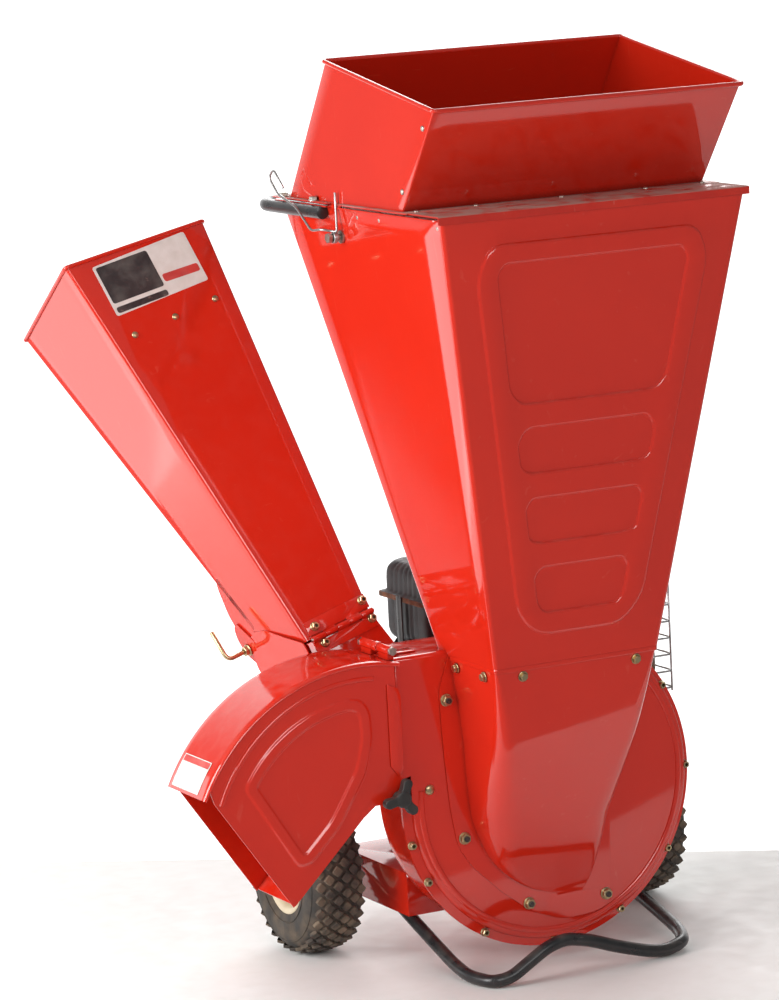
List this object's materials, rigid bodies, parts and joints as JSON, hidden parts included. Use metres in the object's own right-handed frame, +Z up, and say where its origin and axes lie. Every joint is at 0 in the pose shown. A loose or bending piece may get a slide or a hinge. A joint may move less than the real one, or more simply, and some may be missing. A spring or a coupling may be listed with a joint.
{
  "type": "wood chipper",
  "caption": "Wheeled petrol garden wood chipper and shredder with a tall feed hopper, folding side chute, hinged discharge chute, recoil engine and bent-tube stand.",
  "frame": {"origin": "centre of the footprint box, on the floor", "axes": "+Z up, +Y from the front of the hopper towards the engine, +X to the right seen from the front of the hopper"},
  "size_m": [0.8684, 0.8152, 1.2983],
  "materials": {
    "red_paint": "glossy red enamel",
    "black_paint": "satin black enamel",
    "tyre_rubber": "matte, dusty tread",
    "flap_rubber": "matte",
    "cream_paint": "satin cream enamel",
    "zinc": "zinc plated",
    "yellow_zinc": "yellow zinc plated",
    "steel": "bare or plated steel",
    "cast_metal": "as cast",
    "muffler_steel": "heat-stained pressed steel",
    "black_plastic": "moulded",
    "grey_plastic": "moulded, ribbed"
  },
  "bodies": {
    "chassis": {"lower_hopper": "red_paint", "upper_hopper": "red_paint", "hopper_shelf": "red_paint", "pull_handle": "black_paint", "latch_bolt": "zinc", "front_cover": "red_paint", "housing_front": "red_paint", "housing_rear": "red_paint", "hinge_strap": "red_paint", "hinge_bolt": "zinc", "lower_chute": "red_paint", "leaf_lower": "red_paint", "chute_hinge_pin": "zinc", "lock_nut": "yellow_zinc", "engine_frame": "red_paint", "stand": "black_paint", "axle": "steel", "axle_cap_left": "zinc", "axle_cap_right": "zinc", "crankcase": "cast_metal", "cylinder": "cast_metal", "cylinder_head": "cast_metal", "spark_plug": "black_plastic", "blower_housing": "black_paint", "starter_cover": "black_paint", "fuel_tank": "grey_plastic", "tank_strap": "steel", "muffler": "muffler_steel", "muffler_guard": "steel", "carburettor": "cast_metal", "air_cleaner": "black_plastic", "control_plate": "steel"},
    "chipper_chute": {"upper_chute": "red_paint", "chute_flap": "flap_rubber", "leaf_upper": "red_paint"},
    "lock_pin_body": {"lock_pin": "yellow_zinc"},
    "deflector": {"discharge_shell": "red_paint", "discharge_panel": "red_paint", "knuckle_front": "red_paint", "knuckle_rear": "red_paint"},
    "deflector_knob": {"star_knob": "black_plastic"},
    "wheel_left": {"tyre_left": "tyre_rubber", "rim_left": "cream_paint"},
    "wheel_right": {"tyre_right": "tyre_rubber", "rim_right": "cream_paint"},
    "rotor": {"crankshaft": "steel", "impeller": "cast_metal", "chipper_blade_a": "steel", "chipper_blade_b": "steel", "shredder_blade": "steel", "rotor_bolt": "zinc", "flywheel": "cast_metal"},
    "latch_wire": {"wire_latch": "steel"},
    "choke": {"choke_lever": "black_plastic"},
    "throttle": {"throttle_lever": "black_plastic"},
    "tank_cap": {"fuel_cap": "black_plastic"},
    "oil_filler_cap": {"oil_cap": "black_plastic"},
    "starter_grip": {"starter_handle": "black_plastic"}
  },
  "joints": [
    {"name": "chute_fold", "type": "hinge", "parent": "chassis", "child": "chipper_chute", "pos_m": [-0.14157, -0.03445, 0.49908], "axis": [0.9583, 0.1107, 0.2634], "range_deg": [0, 52]},
    {"name": "lock_pin_turn", "type": "hinge", "parent": "chassis", "child": "lock_pin_body", "pos_m": [-0.21894, 0.12061, 0.44963], "axis": [0.9583, 0.1107, 0.2634], "range_deg": [-90, 90]},
    {"name": "deflector_lift", "type": "hinge", "parent": "chassis", "child": "deflector", "pos_m": [-0.12977, -0.12021, 0.482], "axis": [0, 1, 0], "range_deg": [0, 30]},
    {"name": "knob_turn", "type": "hinge", "parent": "deflector", "child": "deflector_knob", "pos_m": [-0.13577, -0.18521, 0.277], "axis": [0, 1, 0], "continuous": true},
    {"name": "wheel_left_spin", "type": "hinge", "parent": "chassis", "child": "wheel_left", "pos_m": [-0.14877, 0.10379, 0.1195], "axis": [1, 0, 0], "continuous": true},
    {"name": "wheel_right_spin", "type": "hinge", "parent": "chassis", "child": "wheel_right", "pos_m": [0.38823, 0.10379, 0.1195], "axis": [1, 0, 0], "continuous": true},
    {"name": "rotor_spin", "type": "hinge", "parent": "chassis", "child": "rotor", "pos_m": [0.11273, -0.10021, 0.2536], "axis": [0, 1, 0], "continuous": true},
    {"name": "latch_wire_swing", "type": "hinge", "parent": "chassis", "child": "latch_wire", "pos_m": [-0.14777, -0.09621, 1.054], "axis": [1, 0, 0], "range_deg": [-12, 12]},
    {"name": "choke_turn", "type": "hinge", "parent": "chassis", "child": "choke", "pos_m": [0.04223, 0.01179, 0.384], "axis": [0, 1, 0], "range_deg": [-22, 22]},
    {"name": "throttle_turn", "type": "hinge", "parent": "chassis", "child": "throttle", "pos_m": [0.03523, 0.15079, 0.376], "axis": [1, 0, 0], "range_deg": [-30, 30]},
    {"name": "tank_cap_turn", "type": "hinge", "parent": "chassis", "child": "tank_cap", "pos_m": [0.12823, 0.10779, 0.558], "axis": [0, 0, 1], "continuous": true},
    {"name": "oil_cap_turn", "type": "hinge", "parent": "chassis", "child": "oil_filler_cap", "pos_m": [0.02023, 0.08979, 0.178], "axis": [1, 0, 0], "continuous": true},
    {"name": "starter_pull", "type": "slide", "parent": "chassis", "child": "starter_grip", "axis": [0.7071, 0, 0.7071], "range_m": [0, 0.6], "stiffness_N_per_m": 15}
  ]
}
